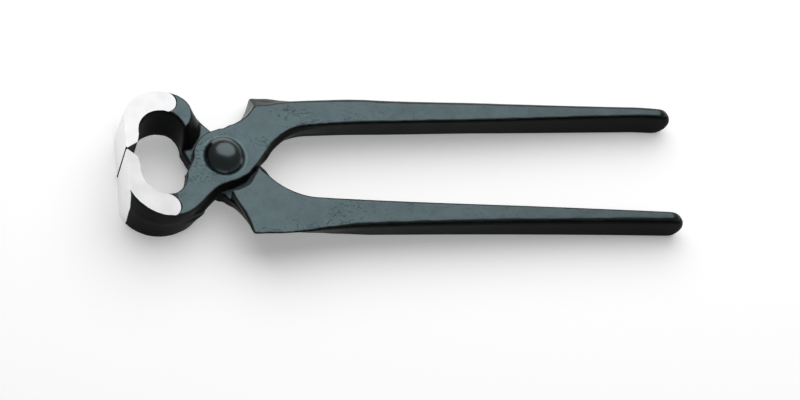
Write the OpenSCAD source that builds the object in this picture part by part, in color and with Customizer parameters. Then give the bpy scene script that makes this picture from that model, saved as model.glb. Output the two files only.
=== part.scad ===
// End cutting nippers: two forged levers that cross at one riveted lap joint.
// X runs from the nose to the handle ends, and Z is the direction of the rivet.
// The part lies on its back, with the nose corners on Z = 0.

/* [Overall] */
// Length from the nose to the handle ends
overall_l = 200; // [160:1:260]
// Thickness of the joint and the handles
lever_t = 12.8; // [10:0.1:16]
// Width of the jaws at the cutting edges
jaw_w = 22.2; // [18:0.1:28]

/* [Jaws] */
// Distance from the pivot to the nose
nose_reach = 35.3; // [33:0.1:45]
// Height of one jaw from the cutting edge to its crown
jaw_h = 24.2; // [22:0.1:30]
// Height of the flat nose of one jaw
nose_flat_h = 15.5; // [10:0.1:18]
// Radius of the round mouth behind the edges
mouth_r = 8.4; // [6:0.1:9]
// Distance from the pivot to the mouth's round end
mouth_x = 22; // [21:0.1:26]
// Height of the round end's centre in one jaw
mouth_y = 7.2; // [5:0.1:9]
// Depth of the bevel behind the cutting edge
bevel_depth = 4.1; // [3:0.1:6]
// Height of the bevel in one jaw
bevel_h = 2.6; // [1.5:0.1:4]
// Gap between the closed cutting edges
edge_gap = 0.3; // [0.1:0.05:1]
// Distance from the pivot to the root of the cheek's flare
cheek_root = 17; // [14:0.5:22]
// Height of the jaw's back end above the middle plane
lobe_h = 10.2; // [8:0.1:11]
// Draft of the crown from the middle plane to the stepped side
jaw_draft = 0.7; // [0:0.1:2]
// Step at the forging's parting line
parting_step = 0.2; // [0.1:0.05:0.5]

/* [Joint] */
// Radius of the round boss on each lap
boss_r = 10.9; // [9:0.1:12]
// Gap between a boss and the step of the other lever
step_gap = 2.4; // [1:0.1:4]
// Gap between a boss and the back end of the other jaw
lobe_gap = 1.8; // [1:0.1:4]
// Gap between the two lap faces
lap_gap = 0.1; // [0.05:0.01:0.3]
// Opening angle at which the necks reach their stops
open_deg = 20; // [10:1:28]
// Angle left free beyond the opening angle
stop_clear_deg = 0.5; // [0.5:0.5:3]

/* [Rivet] */
// Diameter of the rivet's shank
shank_d = 8.6; // [6:0.1:12]
// Radial clearance of the shank in the front lever
running_clear = 0.05; // [0.02:0.01:0.1]
// Gap under the front head
head_gap = 0.1; // [0.05:0.01:0.3]
// Diameter of the front head
head_d = 14.2; // [12:0.1:18]
// Height of the front head
head_h = 5.2; // [3:0.1:7]
// Height of the front head's steep rim
head_rim_h = 1.5; // [0.5:0.1:2.5]
// Lean of the steep rim towards the dome
head_rim_in = 0.4; // [0:0.1:1]
// Diameter of the closed head at the back
tail_d = 13; // [11:0.1:17]
// Height of the closed head at the back
tail_h = 2.8; // [1:0.1:4]

/* [Shoulders] */
// Distance from the pivot to the front lever's shoulder on its flush side
front_flush_x = 12.2; // [8:0.1:16]
// Distance from the pivot to the front lever's shoulder on its stepped side
front_step_x = 13.6; // [8:0.1:16]
// Distance from the pivot to the rear lever's shoulder on its flush side
rear_flush_x = 9.8; // [8:0.1:16]
// Distance from the pivot to the rear lever's shoulder on its stepped side
rear_step_x = 8.8; // [7:0.1:16]
// Height of the shoulder on the stepped side
shoulder_step = 30.4; // [27:0.1:36]
// Height of the shoulder on the flush side
shoulder_flush = 20.6; // [18:0.1:24]

/* [Handles] */
// Distance from the pivot to the handles' widest place
swell_x = 52; // [40:1:70]
// Height of the outer edge there, on the flush side
swell_flush = 24.1; // [22:0.1:28]
// Height of the outer edge there, on the stepped side
swell_step = 26.6; // [24:0.1:30]
// Distance from the pivot to the end of the crotch
crotch_x = 31; // [26:0.5:40]
// Height of the inner edge there, on the flush side
crotch_flush = 12.8; // [11:0.1:15]
// Height of the inner edge there, on the stepped side
crotch_step = 15.1; // [13:0.1:17]
// Distance from the pivot to the middle of the inner edge
waist_x = 92; // [70:1:110]
// Height of the inner edge there, on the flush side
waist_flush = 15.8; // [14:0.1:18]
// Height of the inner edge there, on the stepped side
waist_step = 17.1; // [15:0.1:19]
// Height of the handle end's centre line
tip_y = 21; // [18:0.1:28]
// Width of the handle end
tip_w = 4.2; // [3:0.1:8]
// Length of the handle end's rounding, seen from the side
tip_round = 6; // [2:0.1:10]
// Radius along the handles' outer edges
outer_round = 2; // [0.5:0.1:3]
// Radius along the handles' inner edges
inner_round = 0.9; // [0.3:0.1:2]

/* [Hidden] */
$fn = 96;

pocket_r = boss_r + step_gap;
lobe_r = boss_r + lobe_gap;
half_t = lever_t / 2;
half_jaw = jaw_w / 2;
tip_x = overall_l - nose_reach;
shank_r = shank_d / 2;
lap_z = lap_gap / 2;
curve_n = 12;
long_n = 7;
tip_n = 7;
tip_turn = -90 + 180 / (tip_n + 1);
round_from = 18;
round_full = 45;
tip_blend = 22;
reach_all = overall_l;
// Depth to which an outline runs into the round that it joins
tuck = 0.5;

// Points on a cubic curve, without its last point
function curve(p, n) = [
    for (i = [0 : n - 1])
        let (u = i / n, v = 1 - u)
        v * v * v * p[0] + 3 * v * v * u * p[1] + 3 * v * u * u * p[2] + u * u * u * p[3]
];

// Points on a circle's arc, both ends included
function arc(c, r, from, to, n) = [
    for (i = [0 : n])
        let (a = from + (to - from) * i / n)
        c + r * [cos(a), sin(a)]
];

function on_circle(r, a) = [r * cos(a), r * sin(a)];
function mix(a, b, u) = a * (1 - u) + b * u;
function clamp01(u) = min(1, max(0, u));

// Depth of an edge rounding of radius r at height z of the lever
function edge_inset(z, r) =
    let (past = max(0, abs(z) - (half_t - r)))
    r - sqrt(max(0, r * r - past * past));

function turned(t, flip) = flip ? [t[0], t[2], t[1]] : t;

// Triangles across a ring, sewn from both ends of its list towards the middle
function cap(first, n, flip) = [
    for (i = [0 : floor(n / 2) - 1])
        let (j = n - 1 - i)
        each [
            if (i + 1 < j - 1) turned([first + i, first + i + 1, first + j - 1], flip),
            if (i < j - 1) turned([first + i, first + j - 1, first + j], flip)
        ]
];

// A closed solid through rings of points that turn clockwise as seen from the last ring's side
module loft(rings) {
    n = len(rings[0]);
    last = len(rings) - 1;
    sides = [
        for (k = [0 : last - 1], i = [0 : n - 1])
            let (j = (i + 1) % n)
            each [
                [k * n + i, k * n + j, (k + 1) * n + j],
                [k * n + i, (k + 1) * n + j, (k + 1) * n + i]
            ]
    ];
    polyhedron([for (r = rings) each r], concat(cap(0, n, true), sides, cap(last * n, n, false)));
}

// Jaw outlines, with the jaw below the X axis and the nose on the left
mouth_c = [-mouth_x, -mouth_y];
crown = [-mouth_x, -jaw_h];
nose_low = [-nose_reach, -nose_flat_h];
edge_tip = [-nose_reach, -edge_gap / 2];
bevel_top = [-nose_reach + bevel_depth, -bevel_h];
boss_low = on_circle(boss_r - tuck, -82);
boss_left = on_circle(boss_r - tuck, 178);

// Point at radius r from the rivet where the metal beside the mouth is no thinner than the wall
function by_mouth(r, wall) =
    let (
        far = norm(mouth_c),
        apart = mouth_r + wall,
        share = (r * r + far * far - apart * apart) / (2 * r * far)
    )
    on_circle(r, atan2(mouth_c[1], mouth_c[0]) + acos(min(1, share)));

neck_curve = [crown, crown + [14, 0], boss_low - [8.9, 1.3], boss_low];
lobe_foot_curve = [crown, crown + [15, 0.7], on_circle(lobe_r + 1.3, -107), by_mouth(lobe_r, 2)];
lobe_top_curve = [crown, crown + [10, 0], on_circle(lobe_r + 5, -117), by_mouth(lobe_r + 3.5, 0.17)];
lobe_end_deg = 4;
mouth_rough_r = mouth_r - tuck;
mouth_front = [-mouth_x - mouth_r, -2 * bevel_h];

// Nose and crown of the jaw, with the crown drawn in by d
function crown_points(d) =
    let (low = nose_low + [0, d * nose_flat_h / jaw_h], top = crown + [0, d])
    concat([edge_tip], curve([low, low + [1.8, -4.5], top - [6, 0], top], curve_n));

// Lap and jaw seen along the rivet, without the boss
module head_outline() {
    polygon(concat(
        crown_points(0),
        curve(neck_curve, curve_n),
        [boss_low, [0, 0], boss_left],
        arc(mouth_c, mouth_rough_r, 0, -180, 2 * curve_n),
        [mouth_front, bevel_top]
    ));
}

// Share of the way from the lap face to the jaw's stepped side
function step_share(z) = (lap_z - z) / lobe_h;

// Ring of the jaw below the lap face, with a rounded back end that leans in towards the stepped side
function jaw_ring(z) =
    let (
        u = step_share(z),
        d = parting_step + jaw_draft * u,
        back = [for (i = [0 : 3]) mix(lobe_foot_curve[i], lobe_top_curve[i], u) + [0, i < 2 ? d : 0]],
        end = back[3] - mouth_c,
        mouth = arc(mouth_c, mouth_rough_r, atan2(end[1], end[0]) - lobe_end_deg, -180, 2 * curve_n - 2),
        outline = concat(crown_points(d), curve(back, curve_n), mouth, [mouth_front, bevel_top])
    )
    [for (p = outline) [p[0], p[1], z]];

// Side profile of the head: flared cheeks, flush on one side and stepped on the other
module head_profile() {
    rotate([90, 0, 0])
        linear_extrude(height = reach_all, center = true)
            polygon([
                [-nose_reach, half_jaw],
                [-cheek_root, half_t],
                [reach_all, half_t],
                [reach_all, -lobe_h],
                [-boss_r, -lobe_h],
                [-nose_reach, -half_jaw]
            ]);
}

// Neck and boss of one lap, from the lap face up
module lap_block(from_z) {
    translate([0, 0, from_z]) {
        linear_extrude(height = jaw_w) head_outline();
        cylinder(r = boss_r, h = half_t - from_z);
    }
}

module head() {
    intersection() {
        head_profile();
        difference() {
            union() {
                lap_block(lap_z);
                loft([for (z = [half_t / 4, -jaw_w]) jaw_ring(z)]);
            }
            translate([mouth_c[0], mouth_c[1], -jaw_w]) cylinder(r = mouth_r, h = 2 * jaw_w);
        }
    }
}

// Handle outlines on the flush side and on the stepped side, with the handle above the X axis
function tip_end(side) = [tip_x - tip_w / 2, tip_y + side * tip_w / 2];
tip_points = arc([tip_x - tip_w / 2, tip_y], tip_w / 2, 90, tip_turn, tip_n);

function flush_outline(shoulder_x) =
    let (
        start = on_circle(boss_r - tuck, 93),
        corner = [shoulder_x, shoulder_flush],
        swell = [swell_x, swell_flush],
        waist = [waist_x, waist_flush],
        crotch = [crotch_x, crotch_flush],
        end = on_circle(boss_r - tuck, -35)
    )
    concat(
        curve([start, start + [5.5, 1.9], corner - [3, 5.2], corner], curve_n),
        curve([corner, corner + [12, 0.4], swell - [14, 0.2], swell], long_n),
        curve([swell, swell + [14, -0.2], tip_end(1) - [52, 0.2], tip_end(1)], long_n),
        tip_points,
        curve([tip_end(-1), tip_end(-1) - [38, 1.3], waist + [18, 0.6], waist], long_n),
        curve([waist, waist - [22, 0.7], crotch + [18, 1.9], crotch], long_n),
        curve([crotch, crotch - [10, 0.6], end + [6.9, 9.8], end], curve_n)
    );

function step_outline(shoulder_x) =
    let (
        start = on_circle(pocket_r - tuck, 84),
        corner = [shoulder_x, shoulder_step],
        swell = [swell_x, swell_step],
        waist = [waist_x, waist_step],
        crotch = [crotch_x, crotch_step],
        end = on_circle(boss_r, 5)
    )
    concat(
        curve([start, corner - [5.5, 14], corner - [1.4, 8], corner], curve_n),
        curve([corner, corner + [12, -1], swell - [14, -0.8], swell], long_n),
        curve([swell, swell + [14, -0.9], tip_end(1) - [52, -0.5], tip_end(1)], long_n),
        tip_points,
        curve([tip_end(-1), tip_end(-1) - [38, 1], waist + [18, 0.3], waist], long_n),
        curve([waist, waist - [22, 0.5], crotch + [18, 1.1], crotch], long_n),
        curve([crotch, crotch - [8.5, 1], end + [5.2, 9], end], curve_n)
    );

// Handle outline at height z, with the long edges and the end rounded
function handle_ring(flush_x, step_x, z) =
    let (
        flush = flush_outline(flush_x),
        step = step_outline(step_x),
        u = (half_t - z) / lever_t,
        end_inset = tip_round * (1 - sqrt(max(0, 1 - pow(z / half_t, 2))))
    )
    [
        for (i = [0 : len(flush) - 1])
            let (
                p = mix(flush[i], step[i], u),
                w = clamp01((p[0] - round_from) / (round_full - round_from)),
                outside = i < len(flush) / 2,
                dy = outside ? -edge_inset(z, outer_round) : edge_inset(z, inner_round),
                e = clamp01((p[0] - tip_x + tip_blend) / tip_blend)
            )
            [p[0] - end_inset * e * e, p[1] + w * dy, z]
    ];

// Heights of the rings, closer together where the edges turn
flat_half = half_t - outer_round;
edge_heights = [for (a = [0 : 30 : 90]) flat_half + outer_round * sin(a)];
ring_heights = concat(
    [for (i = [len(edge_heights) - 1 : -1 : 0]) -edge_heights[i]],
    [-flat_half / 2, 0, flat_half / 2],
    edge_heights
);

module handle(flush_x, step_x) {
    difference() {
        loft([for (z = ring_heights) handle_ring(flush_x, step_x, z)]);
        translate([0, 0, lap_z - lever_t]) cylinder(r = pocket_r, h = lever_t);
        rotate([0, 0, -open_deg - stop_clear_deg])
            rotate([180, 0, 0])
                translate([0, 0, -lap_z])
                    linear_extrude(height = jaw_w) head_outline();
    }
}

// One lever with its flush side up: jaw below, handle above
module lever(flush_x, step_x, bore_r) {
    difference() {
        union() {
            head();
            handle(flush_x, step_x);
        }
        translate([0, 0, -jaw_w]) cylinder(r = bore_r, h = 2 * jaw_w);
    }
}

module in_frame() {
    translate([nose_reach - overall_l / 2, 0, half_jaw]) children();
}

module front_lever() {
    color([0.17, 0.19, 0.19]) in_frame() lever(front_flush_x, front_step_x, shank_r + running_clear);
}

module rear_lever() {
    color([0.17, 0.19, 0.19]) in_frame() rotate([180, 0, 0]) lever(rear_flush_x, rear_step_x, shank_r);
}

// Rivet with a high button head in front and a low closed head behind
module pivot_rivet() {
    head_z = half_t + head_gap;
    head_r = head_d / 2;
    dome_h = head_h - head_rim_h;
    dome_r = head_r - head_rim_in;
    dome_z = head_z + head_rim_h;
    dome = [for (a = [0 : 6 : 90]) [dome_r * cos(a), dome_z + dome_h * sin(a)]];
    tail = [for (a = [90 : -6 : 0]) [tail_d / 2 * cos(a), -half_t - tail_h * sin(a)]];
    color([0.1, 0.11, 0.11]) in_frame()
        rotate_extrude()
            polygon(concat(tail, [[shank_r, -half_t], [shank_r, head_z], [head_r, head_z]], dome));
}

front_lever();
rear_lever();
pivot_rivet();
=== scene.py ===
"""End cutting nippers: two black forged levers with ground jaws, turning on one rivet."""
import math

import bmesh
import bpy
from mathutils import Matrix, Vector, noise


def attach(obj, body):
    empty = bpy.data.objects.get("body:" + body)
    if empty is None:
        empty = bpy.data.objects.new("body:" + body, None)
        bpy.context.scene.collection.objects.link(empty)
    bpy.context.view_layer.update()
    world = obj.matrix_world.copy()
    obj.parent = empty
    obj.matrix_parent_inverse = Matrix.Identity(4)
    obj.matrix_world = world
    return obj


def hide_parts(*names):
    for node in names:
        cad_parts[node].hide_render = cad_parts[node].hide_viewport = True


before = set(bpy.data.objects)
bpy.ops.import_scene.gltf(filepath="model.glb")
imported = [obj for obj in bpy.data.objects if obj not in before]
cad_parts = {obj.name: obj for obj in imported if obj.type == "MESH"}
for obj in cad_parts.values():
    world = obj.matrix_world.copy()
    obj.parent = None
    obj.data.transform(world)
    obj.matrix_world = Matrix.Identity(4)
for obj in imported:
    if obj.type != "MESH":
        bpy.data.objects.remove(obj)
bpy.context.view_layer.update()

MM = 0.001

# Rivet axis on the middle plane, and the jaw sizes seen from there, in millimetres
PIVOT = Vector((-64.7, 0.0, 11.1))
NOSE_X = -35.3
NOSE_LOW = (NOSE_X, -30.0)
NOSE_HIGH = (NOSE_X, 10.0)
EDGE = (NOSE_X, 0.1)
BEVEL_TOP = (-31.2, -2.6)
LAND_LOW = (-35.3, -0.7)
LAND_TOP = (-34.8, -0.23)
HALF_JAW = 11.1
FLUSH_ROOT = (-17.0, 6.4)
STEP_ROOT = (-10.9, 10.2)

# Metal left on the forging for grinding, and how near a face a point counts as on it
STOCK = 0.4
STOCK_FROM = -17.0
STOCK_FULL = -24.0
NOSE_STOCK = 0.6
EDGE_STOCK = 0.8
ON_CHEEK = 0.03
ON_NOSE = 0.02
ON_EDGE = 0.05

# Ground cheeks: centre and radius of the rounded end, and depth below the forged face there
FLUSH_END = (-20.9, -20.0)
FLUSH_END_R = 4.3
FLUSH_SUNK = 0.35
STEP_END = (-20.3, -19.2)
STEP_END_R = 4.0
STEP_SUNK = 0.35
END_STEPS = 28
CUT_FAR = 45.0
CUT_HIGH = 30.0

# Slope round a ground cheek's end
END_RISE = 0.9
END_SPREAD = 0.9

# Ground turn from the nose into the crown, as two points on its face
TURN_TOP = (-35.3, -14.69)
TURN_LOW = (-33.68, -18.1)
TURN_LEAN = -0.031
TIP_FROM = -26.0

# Forging: voxels, rounds of smoothing, and the hollows that the dies leave on the flats
VOXEL = 0.36
SMOOTH_FACTOR = 0.5
FORGED_PASSES = 12
SEAM_PASSES = 60
CORNER_PASSES = 26
DENT_DEEP = 0.08
DENT_SIZE = 6.0
DENT_NOISE = (1.0, 2.0, 3)
DENT_SHARE = 0.35
DENT_LEVEL = (0.95, 0.998)
DENT_Z = (5.8, 6.3)

# Eased places, each as a run from where the smoothing starts to where it is full
SEAM_X = (-9.0, -15.0)
SEAM_TILT = (0.5, 0.2)
CORNER_Y = (18.5, 22.0)
CORNER_X = (20.0, 15.0)

# Metal that the outline gains or loses, as (distance along x from the rivet, metal)
FRONT_OUTER = [
    (3.0, 0.0), (11.0, 0.5), (15.0, 0.6), (20.0, 0.95), (27.0, 0.8),
    (41.0, 0.5), (60.0, 0.2), (97.0, 0.65), (150.0, 0.65), (165.0, 0.0),
]
REAR_OUTER = [(3.0, 0.0), (11.0, 0.4), (20.0, 0.75), (27.0, 0.8), (36.0, 0.3), (46.0, 0.0)]
NECK_TOP = [(-3.5, 0.0), (0.0, 0.5), (2.5, 0.9), (5.0, 0.5), (10.0, 0.0)]

# The same by angle round the rivet, as (degrees, metal)
BOSS_ROUND = [
    (-98.0, 0.0), (-75.0, -0.85), (-55.0, -0.8), (-30.0, 0.0),
    (-10.0, 0.95), (8.0, 0.85), (25.0, 0.0),
]
POCKET_END = [(5.0, 0.0), (22.0, -0.9), (34.0, -0.8), (55.0, 0.0)]
CROTCH_WALL = [(-22.0, 0.0), (-5.0, 1.2), (12.0, 1.9), (22.0, 1.8), (42.0, 0.6), (60.0, 0.0)]

# Metal gained at single places, and the way it goes
CROTCH_OUT = Vector((0.77, -0.64, 0.0))
NECK_SIDE = Vector((0.76, -0.65, 0.0)) * 1.4
SHOULDER_END = 0.7
FRONT_STEP_WALL = 1.5
REAR_STEP_WALL = 0.0

# Reach of those places, each as runs from where the metal starts to where it is full
LAP_Z = -0.2
STEPPED_Z = (6.4, -6.4)
OUTER_X = (15.0, 26.0)
OUTER_Y = (13.0, 19.0)
SHOULDER_Y = (12.0, 18.0)
SHOULDER_X = ((18.0, 12.0), (0.0, 3.0))
NECK_TOP_R = (8.5, 10.3)
NECK_SIDE_X = ((-11.5, -8.0), (1.0, -4.0))
NECK_SIDE_Z = (6.0, 1.0)
NECK_SIDE_R = (11.6, 13.5)
STEP_WALL_X = (-16.5, -11.0)
STEP_WALL_Y = (-9.0, -13.0)
STEP_WALL_Z = (0.0, -3.0)
BOSS_R = ((8.6, 10.4), (24.0, 17.0))
POCKET_R = ((12.0, 13.0), (18.0, 14.0))
CROTCH_R = ((10.0, 11.5), (44.0, 17.0))
CROTCH_Z = ((6.2, 2.5), (-2.5, 0.3))

# Rivet: button head in front, shank, low closed head behind
HEAD_R = 7.4
HEAD_Z = 6.5
RIM_IN = 0.4
RIM_TOP_Z = 7.6
RIM_ROUND = 0.3
RIM_SEGMENTS = 3
RIM_OFF_SHANK = 0.5
DOME_H = 4.1
SHANK_R = 4.3
TAIL_R = 6.5
TAIL_Z = -6.4
TAIL_H = 2.8
BALL_STEPS = 14
RIVET_STEPS = 80

# Merging distances and tolerances
MERGE = 0.002
CUT_SNAP = 0.001
AXIS_MERGE = 0.005
NEAR = 0.01

# Finishes by slot: black walls, ground cheeks, ground nose, black flats; the walls' black is
# darkened as painted shade and the flats' grey is painted sheen
FORGED, GROUND, NOSE, FLAT = 0, 1, 2, 3

# How squarely a face looks up, or the shoulder's end looks to the jaw, to take the flats' finish,
# whose grey on the flats is painted sheen
LEVEL_FROM = 0.99
GROUND_FROM = 0.9
FLAT_FROM = 0.72
SHOULDER_TO_JAW = -0.6
SHOULDER_TO_TOP = 0.1
LEVER_SHARP = math.radians(28.0)
RIVET_SHARP = math.radians(40.0)

# Black oxide: darker and lighter colour, tint of the glint, and shine; the flats' grey is painted
# sheen and the walls' deep black is painted shade
FLAT_PAINTED_SHEEN_GREYS = ((0.050, 0.082, 0.090, 1.0), (0.064, 0.100, 0.110, 1.0))
WALL_PAINTED_SHADE_BLACKS = ((0.0035, 0.0039, 0.0036, 1.0), (0.0080, 0.0085, 0.0080, 1.0))
RIVET_BLACKS = ((0.0022, 0.0024, 0.0022, 1.0), (0.0042, 0.0045, 0.0042, 1.0))
FORGED_GLINT = (0.84, 1.0, 1.03, 1.0)
RIVET_GLINT = (0.80, 1.0, 1.04, 1.0)
WALL_SHINE = 0.022
FLAT_SHINE = 0.42
RIVET_SHINE = 0.95

# Marks on the flats: stretch of the scratches, depths, and fading along the lever in metres, with a
# painted sheen that runs lighter towards the jaw and darker towards the handle ends
LONG_MARKS = (240.0, 560.0, 500.0)
CROSS_MARKS = (620.0, 280.0, 500.0)
MARK_BEND = 2.4
MARK_DARK = 0.34
MARK_DEEP = 0.16
WAVE_DEEP = 0.05
GRAIN_DEEP = 0.014
MARKS_ALONG = (-0.055, 0.0, 1.0, 0.35)
PAINTED_SHEEN_ALONG = (-0.08, 0.10, 1.40, 0.86)

# Lighter ring round the rivet head
RING_R = 8.0
RING_WIDE = 0.6
RING_BRIGHT = 0.45

# Ground steel: darker and lighter tone, the nose's far brighter than the cheeks' as a painted
# highlight, and the way that the wheel's lines run
CHEEK_TONES = (0.52, 0.57)
NOSE_PAINTED_BRIGHT_TONES = (0.88, 0.93)
CHEEK_GRAIN = (5200.0, 240.0, 5200.0)
NOSE_GRAIN = (5200.0, 5200.0, 240.0)
STEEL_BLUE = 1.012
SCRATCH_DEEP = 0.004

# Rivet's surface: depth of its dents and of its grain
RIVET_DENT = 0.018
RIVET_GRAIN = 0.003

# Middle range of a noise
MIDDLE = (0.3, 0.7)

# Floor: size and edge in metres, tilt in degrees, colour, and where it runs out to white
FLOOR_SIZE = 3.0
FLOOR_EDGE = (-0.1, 0.0, 0.0)
FLOOR_TILT = -1.43
FLOOR_PALE = (0.93, 0.93, 0.93, 1.0)
FLOOR_ROUGH = 0.9
FLOOR_FADE = (0.22, 0.45)
FLOOR_LIFT = 0.28
WHITE = (1.0, 1.0, 1.0, 1.0)

# Light: softbox direction, distance, size and power, and the even light round it
KEY_TOWARDS = (0.06, 0.49, 0.87)
KEY_AWAY = 0.7
KEY_SIZE = (1.22, 1.06)
KEY_POWER = 5.7
FILL = 0.19

# Camera at the photograph's angle, in millimetres and degrees
CAMERA_AT = Vector((-365.379, -794.761, 1447.294))
CAMERA_TURN = (28.99951, -11.40996, -5.28679)
CAMERA_LENS = 214.86
CAMERA_SENSOR = 36.0
CAMERA_REACH = 20.0


def lever_place(turned):
    """Matrix from a lever's own frame, flush side up and jaw below, to the part's frame."""
    half_turn = Matrix.Rotation(math.pi if turned else 0.0, 4, "X")
    return Matrix.Translation(PIVOT * MM) @ half_turn @ Matrix.Scale(MM, 4)


def line_at(x, start, end):
    """Height at x on the straight line through two (x, z) points."""
    return start[1] + (end[1] - start[1]) * (x - start[0]) / (end[0] - start[0])


def smooth_share(x, start, end):
    """0 at start and 1 at end, with a soft turn at both."""
    share = min(1.0, max(0.0, (x - start) / (end - start)))
    return share * share * (3.0 - 2.0 * share)


def within(x, *runs):
    """Soft share of x in all the runs, each given as (start, end)."""
    return math.prod(smooth_share(x, start, end) for start, end in runs)


def metal_at(x, stations):
    """Metal at x, running softly from station to station."""
    for (start, low), (end, high) in zip(stations, stations[1:]):
        if start <= x <= end:
            return low + (high - low) * smooth_share(x, start, end)
    return 0.0


def made_object(name, bm, materials=()):
    """A linked object holding the bmesh, which is freed."""
    mesh = bpy.data.meshes.new(name)
    bm.to_mesh(mesh)
    bm.free()
    for material in materials:
        mesh.materials.append(material)
    obj = bpy.data.objects.new(name, mesh)
    bpy.context.scene.collection.objects.link(obj)
    return obj


def settle(obj):
    """Gives the object the mesh that its modifiers make, and clears them."""
    bpy.context.view_layer.update()
    depsgraph = bpy.context.evaluated_depsgraph_get()
    mesh = bpy.data.meshes.new_from_object(obj.evaluated_get(depsgraph))
    obj.modifiers.clear()
    old = obj.data
    obj.data = mesh
    bpy.data.meshes.remove(old)


def leave_stock(bm, place):
    """Moves the jaw's faces out by the metal that grinding takes off again."""
    back = place.inverted()
    for vert in bm.verts:
        p = back @ vert.co
        if p.x > STOCK_FROM:
            continue
        stock = STOCK * smooth_share(p.x, STOCK_FROM, STOCK_FULL)
        flush_z = line_at(p.x, (NOSE_X, HALF_JAW), FLUSH_ROOT)
        step_z = line_at(p.x, (NOSE_X, HALF_JAW), STEP_ROOT)
        if abs(p.z - flush_z) < ON_CHEEK:
            p.z += stock
        elif abs(p.z + step_z) < ON_CHEEK:
            p.z -= stock
        if p.x < NOSE_X + ON_NOSE:
            p.x -= NOSE_STOCK
        if p.y > BEVEL_TOP[1] - ON_EDGE:
            p.y += EDGE_STOCK
        vert.co = place @ p


def raw_forging(node, name, place, materials):
    """The CAD lever with stock on its jaw, remeshed evenly and with softened edges."""
    bm = bmesh.new()
    bm.from_mesh(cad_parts[node].data)
    bmesh.ops.remove_doubles(bm, verts=bm.verts[:], dist=MERGE * MM)
    leave_stock(bm, place)
    for face in bm.faces:
        face.material_index = FORGED
    lever = made_object(name, bm, materials)
    remesh = lever.modifiers.new("forging", "REMESH")
    remesh.mode = "VOXEL"
    remesh.voxel_size = VOXEL * MM
    remesh.adaptivity = 0.0
    soften = lever.modifiers.new("soft edges", "SMOOTH")
    soften.factor = SMOOTH_FACTOR
    soften.iterations = FORGED_PASSES
    settle(lever)
    return lever


def ease(lever, share_at, passes):
    """Smooths the forging by the share that a vertex's place and normal give."""
    group = lever.vertex_groups.new(name="eased")
    for vert in lever.data.vertices:
        share = share_at(vert)
        if share > 0.0:
            group.add([vert.index], share, "REPLACE")
    soften = lever.modifiers.new("eased", "SMOOTH")
    soften.vertex_group = group.name
    soften.factor = SMOOTH_FACTOR
    soften.iterations = passes
    settle(lever)
    lever.vertex_groups.clear()


def ease_forging(lever, place):
    """Rubs out the seam along the jaw's walls and rounds the corner of the shoulder."""
    back = place.inverted()

    def on_jaw_wall(vert):
        return within((back @ vert.co).x, SEAM_X) * within(abs(vert.normal.z), SEAM_TILT)

    def by_shoulder_corner(vert):
        p = back @ vert.co
        return within(p.y, CORNER_Y) * within(p.x, CORNER_X)

    ease(lever, on_jaw_wall, SEAM_PASSES)
    ease(lever, by_shoulder_corner, CORNER_PASSES)


def outer_metal(p, outer):
    """Metal along the handle's outer wall and at the shoulder's end."""
    stepped = within(p.z, STEPPED_Z)
    wall = max(stepped, within(p.x, OUTER_X)) * within(p.y, OUTER_Y)
    end = stepped * within(p.y, SHOULDER_Y) * within(p.x, *SHOULDER_X)
    return Vector((-SHOULDER_END * end, metal_at(p.x, outer) * wall, 0.0))


def neck_metal(p, radius, step_wall):
    """Metal where the boss runs into the neck, beside the neck, and on the step behind the jaw."""
    metal = Vector((0.0, 0.0, 0.0))
    if p.y > 0.0 and p.z > LAP_Z:
        metal.y += metal_at(p.x, NECK_TOP) * within(radius, NECK_TOP_R)
    if p.y < 0.0:
        side = within(p.x, *NECK_SIDE_X) * within(p.z, NECK_SIDE_Z) * within(radius, NECK_SIDE_R)
        step = within(p.x, STEP_WALL_X) * within(p.y, STEP_WALL_Y) * within(p.z, STEP_WALL_Z)
        metal += NECK_SIDE * side
        metal.x += step_wall * step
    return metal


def boss_metal(p, radius, angle):
    """Metal round the boss, and off the end of the pocket that takes the other lever's boss."""
    if p.z > LAP_Z:
        swell = metal_at(angle, BOSS_ROUND) * within(radius, *BOSS_R)
    else:
        swell = metal_at(angle, POCKET_END) * within(radius, *POCKET_R)
    return Vector((p.x, p.y, 0.0)).normalized() * swell


def crotch_metal(p, radius, angle):
    """Metal in the wall of the crotch between the handles."""
    share = within(p.z, *CROTCH_Z) * within(radius, *CROTCH_R)
    return CROTCH_OUT * (metal_at(angle, CROTCH_WALL) * share)


def fill_out(lever, place, outer, step_wall):
    """Brings the outline to the forging's own: outer wall, shoulder, neck, boss and crotch."""
    back = place.inverted()
    for vert in lever.data.vertices:
        p = back @ vert.co
        radius = p.xy.length
        angle = math.degrees(math.atan2(p.y, p.x))
        metal = outer_metal(p, outer) + neck_metal(p, radius, step_wall)
        metal += boss_metal(p, radius, angle)
        metal += crotch_metal(p, radius, angle)
        vert.co = place @ (p + metal)


def dent_flats(lever, place):
    """Shallow hollows over the outer flats, as the forging dies leave them."""
    back = place.inverted()
    bm = bmesh.new()
    bm.from_mesh(lever.data)
    bm.normal_update()
    for vert in bm.verts:
        p = back @ vert.co
        share = within(abs(vert.normal.z), DENT_LEVEL) * within(abs(p.z), DENT_Z)
        if share > 0.0:
            hollow = noise.fractal(p / DENT_SIZE, *DENT_NOISE) + DENT_SHARE
            p.z -= math.copysign(DENT_DEEP * share * max(0.0, hollow), p.z)
            vert.co = place @ p
    bm.to_mesh(lever.data)
    bm.free()


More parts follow.
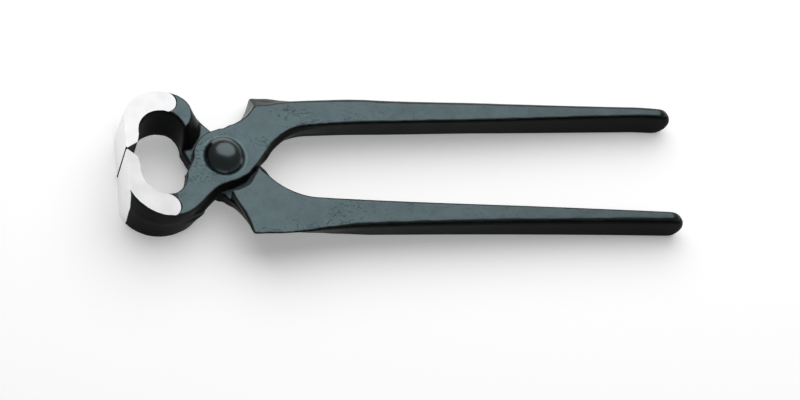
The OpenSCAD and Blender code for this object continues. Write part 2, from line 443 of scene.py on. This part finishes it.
def flat_cut(bm, place, start, end, finish, lean=0.0):
    """Takes off what lies to the left of the line from start to end on the jaw's tip."""
    back = place.inverted()
    run = Vector(end) - Vector(start)
    outward = place.to_3x3() @ Vector((-run.y, run.x, lean * run.length))
    verts = [v for v in bm.verts if (back @ v.co).x < TIP_FROM]
    tip = set(verts)
    edges = [e for e in bm.edges if all(v in tip for v in e.verts)]
    faces = [f for f in bm.faces if all(v in tip for v in f.verts)]
    cut = bmesh.ops.bisect_plane(
        bm,
        geom=verts + edges + faces,
        dist=CUT_SNAP * MM,
        plane_co=place @ Vector((start[0], start[1], 0.0)),
        plane_no=outward.normalized(),
        clear_outer=True,
    )["geom_cut"]
    rim = [e for e in cut if isinstance(e, bmesh.types.BMEdge) and e.is_valid]
    bmesh.ops.edgeloop_fill(bm, edges=rim, mat_nr=finish)


def grind_tip(lever, place):
    """The flat cuts on the jaw's tip: nose, its turn into the crown, the cutting edge, its land."""
    bm = bmesh.new()
    bm.from_mesh(lever.data)
    flat_cut(bm, place, NOSE_LOW, NOSE_HIGH, NOSE)
    flat_cut(bm, place, TURN_LOW, TURN_TOP, NOSE, TURN_LEAN)
    flat_cut(bm, place, EDGE, BEVEL_TOP, FORGED)
    flat_cut(bm, place, LAND_LOW, LAND_TOP, FORGED)
    bmesh.ops.recalc_face_normals(bm, faces=bm.faces[:])
    bm.to_mesh(lever.data)
    bm.free()


def cheek_cutter(end, end_r, nose_z, end_z, side):
    """Block whose sloping face is a ground cheek, with a rounded, sloping end to the joint."""
    bm = bmesh.new()
    first = bm.verts.new((end[0], end[1] - end_r, 0.0))
    centre = Vector((end[0], end[1], 0.0))
    bmesh.ops.spin(
        bm, geom=[first], cent=centre, axis=(0.0, 0.0, 1.0), angle=math.pi, steps=END_STEPS
    )
    bm.verts.ensure_lookup_table()
    last = bm.verts[-1]
    corners = [(end[0], CUT_FAR), (-CUT_FAR, CUT_FAR), (-CUT_FAR, -CUT_FAR), (end[0], -CUT_FAR)]
    chain = [last] + [bm.verts.new((x, y, 0.0)) for x, y in corners] + [first]
    for a, b in zip(chain, chain[1:]):
        bm.edges.new((a, b))
    base = bmesh.ops.contextual_create(bm, geom=bm.edges[:])["faces"]
    spread = 1.0 + END_SPREAD / end_r
    for rise, widen in ((END_RISE, spread), (CUT_HIGH, 1.0)):
        raised = bmesh.ops.extrude_face_region(bm, geom=base, use_keep_orig=True)["geom"]
        base = [f for f in raised if isinstance(f, bmesh.types.BMFace)]
        tops = [v for v in raised if isinstance(v, bmesh.types.BMVert)]
        bmesh.ops.translate(bm, verts=tops, vec=(0.0, 0.0, side * rise))
        rounds = [v for v in tops if (v.co.xy - centre.xy).length < end_r + NEAR]
        bmesh.ops.scale(
            bm, verts=rounds, vec=(widen, widen, 1.0), space=Matrix.Translation(-centre)
        )
    inner = [
        f for f in bm.faces
        if abs(f.normal.z) > LEVEL_FROM
        and abs(f.calc_center_median().z - side * END_RISE) < NEAR
    ]
    bmesh.ops.delete(bm, geom=inner, context="FACES_ONLY")
    slope = (end_z - nose_z) / (end[0] + end_r - NOSE_X)
    lean = Matrix.Identity(4)
    lean[2][0] = side * slope
    lean[2][3] = side * (nose_z - slope * NOSE_X)
    bmesh.ops.transform(bm, matrix=lean, verts=bm.verts[:])
    bmesh.ops.recalc_face_normals(bm, faces=bm.faces[:])
    for face in bm.faces:
        face.material_index = GROUND if abs(face.normal.z) > GROUND_FROM else FORGED
    return bm


def grind_cheeks(lever, place, materials):
    """Cuts one jaw's two cheeks, flush and stepped."""
    flush_z = FLUSH_ROOT[1] - FLUSH_SUNK
    step_z = line_at(STEP_END[0] + STEP_END_R, (NOSE_X, HALF_JAW), STEP_ROOT) - STEP_SUNK
    cutters = [
        cheek_cutter(FLUSH_END, FLUSH_END_R, HALF_JAW, flush_z, 1.0),
        cheek_cutter(STEP_END, STEP_END_R, HALF_JAW, step_z, -1.0),
    ]
    for number, bm in enumerate(cutters):
        bmesh.ops.transform(bm, matrix=place, verts=bm.verts[:])
        cutter = made_object(f"{lever.name}_cut_{number}", bm, materials)
        cut = lever.modifiers.new("grinding", "BOOLEAN")
        cut.operation = "DIFFERENCE"
        cut.solver = "EXACT"
        cut.object = cutter
        settle(lever)
        bpy.data.objects.remove(cutter)


def clear_folds(lever):
    """Takes out slivers, and faces folded flat onto one another, that the cuts can leave."""
    bm = bmesh.new()
    bm.from_mesh(lever.data)
    bmesh.ops.remove_doubles(bm, verts=bm.verts[:], dist=MERGE * MM)
    bmesh.ops.dissolve_degenerate(bm, dist=MERGE * MM, edges=bm.edges[:])
    bmesh.ops.triangulate(bm, faces=[f for f in bm.faces if len(f.verts) > 4])
    corners = {}
    for face in bm.faces:
        corners.setdefault(frozenset(v.index for v in face.verts), []).append(face)
    folded = [face for faces in corners.values() if len(faces) > 1 for face in faces]
    bmesh.ops.delete(bm, geom=folded, context="FACES")
    bm.to_mesh(lever.data)
    bm.free()


def paint_sheen_on_flats(lever, place):
    """Gives the flats, and the end of the shoulder that faces the top, the flats' finish, whose
    grey on the flats is painted sheen.
    """
    back = place.inverted()
    turn_back = back.to_3x3().normalized()
    for polygon in lever.data.polygons:
        if polygon.material_index != FORGED:
            continue
        facing = turn_back @ polygon.normal
        shoulder_end = (
            facing.x < SHOULDER_TO_JAW
            and polygon.normal.y > SHOULDER_TO_TOP
            and (back @ polygon.center).x > 0.0
        )
        if abs(facing.z) > FLAT_FROM or shoulder_end:
            polygon.material_index = FLAT


def forged_lever(node, name, turned, outer, step_wall, materials):
    """One lever: a forging with softened edges, ground on its jaw."""
    place = lever_place(turned)
    lever = raw_forging(node, name, place, materials)
    ease_forging(lever, place)
    fill_out(lever, place, outer, step_wall)
    dent_flats(lever, place)
    grind_tip(lever, place)
    grind_cheeks(lever, place, materials)
    clear_folds(lever)
    paint_sheen_on_flats(lever, place)
    lever.data.shade_smooth()
    lever.data.set_sharp_from_angle(angle=LEVER_SHARP)
    return lever


def ball_outline(bm, radius, height, foot_z):
    """Vertices from the foot of a ball-shaped head up, or down, to its top on the axis."""
    ball = (radius * radius + height * height) / (2.0 * abs(height))
    foot = bm.verts.new((radius, 0.0, foot_z))
    bmesh.ops.spin(
        bm,
        geom=[foot],
        cent=(0.0, 0.0, foot_z + height - math.copysign(ball, height)),
        axis=(0.0, -1.0, 0.0),
        angle=math.copysign(math.asin(radius / ball), height),
        steps=BALL_STEPS,
    )
    return foot


def headed_rivet(name, materials):
    """The rivet: a shank between a high button head in front and a low closed head behind."""
    bm = bmesh.new()
    head_foot = ball_outline(bm, HEAD_R - RIM_IN, DOME_H, RIM_TOP_Z)
    steps = [(HEAD_R, HEAD_Z), (SHANK_R, HEAD_Z), (SHANK_R, TAIL_Z), (TAIL_R, TAIL_Z)]
    chain = [head_foot] + [bm.verts.new((r, 0.0, z)) for r, z in steps]
    for upper, lower in zip(chain, chain[1:]):
        bm.edges.new((upper, lower))
    tail = bmesh.new()
    ball_outline(tail, TAIL_R, -TAIL_H, TAIL_Z)
    tail_mesh = bpy.data.meshes.new("tail_outline")
    tail.to_mesh(tail_mesh)
    tail.free()
    bm.from_mesh(tail_mesh)
    bpy.data.meshes.remove(tail_mesh)
    bmesh.ops.remove_doubles(bm, verts=bm.verts[:], dist=NEAR)
    bmesh.ops.spin(
        bm,
        geom=bm.verts[:] + bm.edges[:],
        cent=(0.0, 0.0, 0.0),
        axis=(0.0, 0.0, 1.0),
        angle=2.0 * math.pi,
        steps=RIVET_STEPS,
        use_merge=True,
    )
    bmesh.ops.remove_doubles(bm, verts=bm.verts[:], dist=AXIS_MERGE)
    bmesh.ops.recalc_face_normals(bm, faces=bm.faces[:])
    rims = [
        e for e in bm.edges
        if all(abs(v.co.z - RIM_TOP_Z) < NEAR or abs(v.co.z - HEAD_Z) < NEAR for v in e.verts)
        and abs(e.verts[0].co.z - e.verts[1].co.z) < NEAR
        and e.verts[0].co.xy.length > SHANK_R + RIM_OFF_SHANK
    ]
    bmesh.ops.bevel(
        bm,
        geom=rims,
        offset=RIM_ROUND,
        segments=RIM_SEGMENTS,
        profile=0.5,
        affect="EDGES",
        material=-1,
    )
    bmesh.ops.transform(bm, matrix=lever_place(False), verts=bm.verts[:])
    rivet = made_object(name, bm, materials)
    rivet.data.shade_smooth()
    rivet.data.set_sharp_from_angle(angle=RIVET_SHARP)
    return rivet


class Finish:
    """A material being laid out node by node, with values or sockets fed to the inputs."""

    def __init__(self, name):
        self.material = bpy.data.materials.new(name)
        self.material.use_nodes = True
        self.tree = self.material.node_tree
        self.shader = self.tree.nodes["Principled BSDF"]
        self.place = self.add("ShaderNodeTexCoord").outputs

    def add(self, kind, inputs=(), **settings):
        node = self.tree.nodes.new(kind)
        for key, value in settings.items():
            setattr(node, key, value)
        self.feed(node, dict(inputs))
        return node

    def feed(self, node, inputs):
        for key, value in inputs.items():
            if isinstance(value, bpy.types.NodeSocket):
                self.tree.links.new(value, node.inputs[key])
            else:
                node.inputs[key].default_value = value

    def math(self, operation, a, b=0.0):
        return self.add("ShaderNodeMath", {0: a, 1: b}, operation=operation).outputs[0]

    def vector(self, operation, a, b=(0.0, 0.0, 0.0)):
        outputs = self.add("ShaderNodeVectorMath", {0: a, 1: b}, operation=operation).outputs
        return outputs["Value"] if operation == "LENGTH" else outputs["Vector"]

    def noise(self, scale, detail=2.0, rough=0.5, vector=None, bent=0.0):
        inputs = {"Vector": vector or self.place["Object"], "Scale": scale, "Detail": detail}
        inputs.update({"Roughness": rough, "Distortion": bent})
        return self.add("ShaderNodeTexNoise", inputs).outputs["Fac"]

    def stretched(self, scale):
        inputs = {"Vector": self.place["Object"], "Scale": scale}
        return self.add("ShaderNodeMapping", inputs).outputs[0]

    def ramp(self, value, low, high, out_low=0.0, out_high=1.0):
        inputs = {0: value, 1: low, 2: high, 3: out_low, 4: out_high}
        return self.add("ShaderNodeMapRange", inputs, interpolation_type="SMOOTHSTEP").outputs[0]

    def mixed(self, share, a, b):
        node = self.add("ShaderNodeMix", data_type="RGBA")
        self.feed(node, {0: share, 6: a, 7: b})
        return node.outputs[2]

    def bump(self, height, deep, strength=1.0, normal=None):
        inputs = {"Height": height, "Distance": deep * MM, "Strength": strength}
        if normal is not None:
            inputs["Normal"] = normal
        return self.add("ShaderNodeBump", inputs).outputs[0]

    def done(self, inputs):
        self.feed(self.shader, inputs)
        return self.material


def black_forged_steel(name, shine):
    """Black oxide on a forging: grey with marks on the flats, deep black on the walls; the grey is
    painted sheen and the black painted shade, set by which way a face looks.
    """
    f = Finish(name)
    cloud = f.noise(140.0, 4.0, 0.6)
    speckle = f.noise(2200.0, 2.0, 0.6)
    up = f.add("ShaderNodeSeparateXYZ", {0: f.place["Normal"]}).outputs[2]
    along = f.add("ShaderNodeSeparateXYZ", {0: f.place["Object"]}).outputs[0]
    flat = f.ramp(f.math("ABSOLUTE", up), 0.955, 0.996)

    # Scratches and pits on the flats, and a lighter ring round the rivet head
    long_lines = f.noise(1.0, vector=f.stretched(LONG_MARKS), bent=MARK_BEND)
    cross_lines = f.noise(1.0, vector=f.stretched(CROSS_MARKS), bent=MARK_BEND)
    marks = f.math("MAXIMUM", f.ramp(long_lines, 0.61, 0.69), f.ramp(cross_lines, 0.64, 0.72))
    patches = f.ramp(f.noise(75.0, 1.0), 0.42, 0.58)
    patches = f.math("MULTIPLY", patches, f.ramp(along, *MARKS_ALONG))
    worn = f.math("MULTIPLY", f.math("MULTIPLY", marks, patches), flat)
    from_rivet = f.vector("SUBTRACT", f.place["Object"], PIVOT * MM)
    ring_r = f.vector("LENGTH", f.vector("MULTIPLY", from_rivet, (1.0, 1.0, 0.0)))
    off_ring = f.math("ABSOLUTE", f.math("SUBTRACT", ring_r, RING_R * MM))
    ring = f.ramp(off_ring, 0.0, RING_WIDE * MM, 1.0, 0.0)

    tone = f.ramp(cloud, *MIDDLE, 0.86, 1.14)
    tone = f.math("ADD", tone, f.ramp(speckle, *MIDDLE, -0.08, 0.08))
    tone = f.math("SUBTRACT", tone, f.math("MULTIPLY", worn, MARK_DARK))
    tone = f.math("ADD", tone, f.math("MULTIPLY", ring, RING_BRIGHT))
    # Painted sheen: lighter towards the jaw, darker towards the handle ends
    tone = f.math("MULTIPLY", tone, f.ramp(along, *PAINTED_SHEEN_ALONG))
    # Painted sheen and shade: faces that look up take the lighter grey, the others the deeper black
    colour = f.mixed(flat, f.mixed(cloud, *WALL_PAINTED_SHADE_BLACKS), f.mixed(cloud, *FLAT_PAINTED_SHEEN_GREYS))
    shade = f.add("ShaderNodeHueSaturation", {"Value": tone, "Color": colour}).outputs[0]

    hollows = f.bump(f.math("MULTIPLY", worn, -1.0), MARK_DEEP)
    waves = f.bump(f.noise(260.0, 3.0), WAVE_DEEP, normal=hollows)
    grain = f.bump(speckle, GRAIN_DEEP, normal=waves)
    dull = f.ramp(cloud, *MIDDLE, 0.31, 0.40)
    return f.done(
        {
            "Base Color": shade,
            "Roughness": f.math("ADD", dull, f.math("MULTIPLY", worn, 0.08)),
            "Normal": grain,
            "Specular IOR Level": shine,
            "Specular Tint": FORGED_GLINT,
        }
    )


def ground_steel(name, tones, grain):
    """Steel as the grinding wheel leaves it: bright, with fine lines the way the wheel ran."""
    f = Finish(name)
    lines = f.noise(1.0, 3.0, 0.6, f.stretched(grain))
    cloud = f.noise(180.0)
    dark, bright = ((tone, tone, tone * STEEL_BLUE, 1.0) for tone in tones)
    dull = f.ramp(cloud, *MIDDLE, 0.38, 0.45)
    return f.done(
        {
            "Base Color": f.mixed(f.ramp(lines, *MIDDLE), dark, bright),
            "Roughness": f.math("ADD", dull, f.ramp(lines, *MIDDLE, -0.03, 0.03)),
            "Normal": f.bump(lines, SCRATCH_DEEP, 0.6),
            "Metallic": 1.0,
        }
    )


def black_rivet_steel(name):
    """Black oxide on the headed rivet, smoother than the forgings."""
    f = Finish(name)
    cloud = f.noise(420.0, 3.0, 0.6)
    speckle = f.noise(2600.0, 2.0, 0.6)
    dents = f.bump(cloud, RIVET_DENT)
    return f.done(
        {
            "Base Color": f.mixed(f.ramp(cloud, *MIDDLE), *RIVET_BLACKS),
            "Roughness": f.ramp(cloud, *MIDDLE, 0.23, 0.28),
            "Normal": f.bump(speckle, RIVET_GRAIN, normal=dents),
            "Specular IOR Level": RIVET_SHINE,
            "Specular Tint": RIVET_GLINT,
        }
    )


def white_floor(name):
    """Pale floor that takes the shadow near the tool and runs out to plain white."""
    f = Finish(name)
    path = f.add("ShaderNodeLightPath").outputs
    seen = f.math("MAXIMUM", path["Is Camera Ray"], path["Is Glossy Ray"])
    seen = f.math("MAXIMUM", seen, path["Is Transmission Ray"])
    far = f.ramp(f.vector("LENGTH", f.place["Object"]), *FLOOR_FADE)
    return f.done(
        {
            "Base Color": FLOOR_PALE,
            "Roughness": FLOOR_ROUGH,
            "Specular IOR Level": 0.0,
            "Emission Color": WHITE,
            "Emission Strength": f.math("MULTIPLY", seen, f.ramp(far, 0.0, 1.0, FLOOR_LIFT, 1.0)),
        }
    )


def softbox(name, towards, away, size, power):
    """A soft elliptical lamp that stands away from the tool in one direction and faces it."""
    data = bpy.data.lights.new(name, "AREA")
    data.shape = "ELLIPSE"
    data.size, data.size_y = size
    data.energy = power
    lamp = bpy.data.objects.new(name, data)
    direction = Vector(towards).normalized()
    lamp.location = direction * away
    lamp.rotation_euler = direction.to_track_quat("Z", "Y").to_euler()
    bpy.context.scene.collection.objects.link(lamp)


# Levers
finishes = [
    # Walls in painted shade and flats with painted sheen, from one black oxide
    black_forged_steel("black_forged_walls_painted_shade", WALL_SHINE),
    ground_steel("bright_ground_cheek", CHEEK_TONES, CHEEK_GRAIN),
    # Nose ground as the cheeks are, its brighter tones a painted highlight
    ground_steel("ground_nose_painted_highlight", NOSE_PAINTED_BRIGHT_TONES, NOSE_GRAIN),
    black_forged_steel("black_flats_painted_sheen", FLAT_SHINE),
]
front = forged_lever(
    "front_lever", "front_lever_forged", False, FRONT_OUTER, FRONT_STEP_WALL, finishes
)
rear = forged_lever(
    "rear_lever", "rear_lever_forged", True, REAR_OUTER, REAR_STEP_WALL, finishes
)
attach(front, "front_body")
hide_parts("front_lever")
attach(rear, "rear_body")
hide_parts("rear_lever")

# Rivet
rivet = headed_rivet("pivot_rivet_headed", [black_rivet_steel("black_rivet_steel")])
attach(rivet, "rear_body")
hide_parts("pivot_rivet")

# Floor, tilted to meet the nose and the handle ends
floor_bm = bmesh.new()
bmesh.ops.create_grid(floor_bm, x_segments=1, y_segments=1, size=FLOOR_SIZE)
floor_turn = Matrix.Rotation(math.radians(FLOOR_TILT), 4, "Y")
floor_place = Matrix.Translation(FLOOR_EDGE) @ floor_turn
bmesh.ops.transform(floor_bm, matrix=floor_place, verts=floor_bm.verts[:])
floor = made_object("floor", floor_bm, [white_floor("white_floor")])

# Light
world = bpy.data.worlds.new("studio")
bpy.context.scene.world = world
world.use_nodes = True
background = world.node_tree.nodes["Background"].inputs
background["Color"].default_value = WHITE
background["Strength"].default_value = FILL
softbox("key_softbox", KEY_TOWARDS, KEY_AWAY, KEY_SIZE, KEY_POWER)

# Camera
camera_data = bpy.data.cameras.new("camera")
camera_data.lens = CAMERA_LENS
camera_data.sensor_width = CAMERA_SENSOR
camera_data.clip_end = CAMERA_REACH
camera = bpy.data.objects.new("camera", camera_data)
camera.location = CAMERA_AT * MM
camera.rotation_euler = [math.radians(a) for a in CAMERA_TURN]
bpy.context.scene.collection.objects.link(camera)
bpy.context.scene.camera = camera
bpy.context.scene.view_settings.view_transform = "Standard"
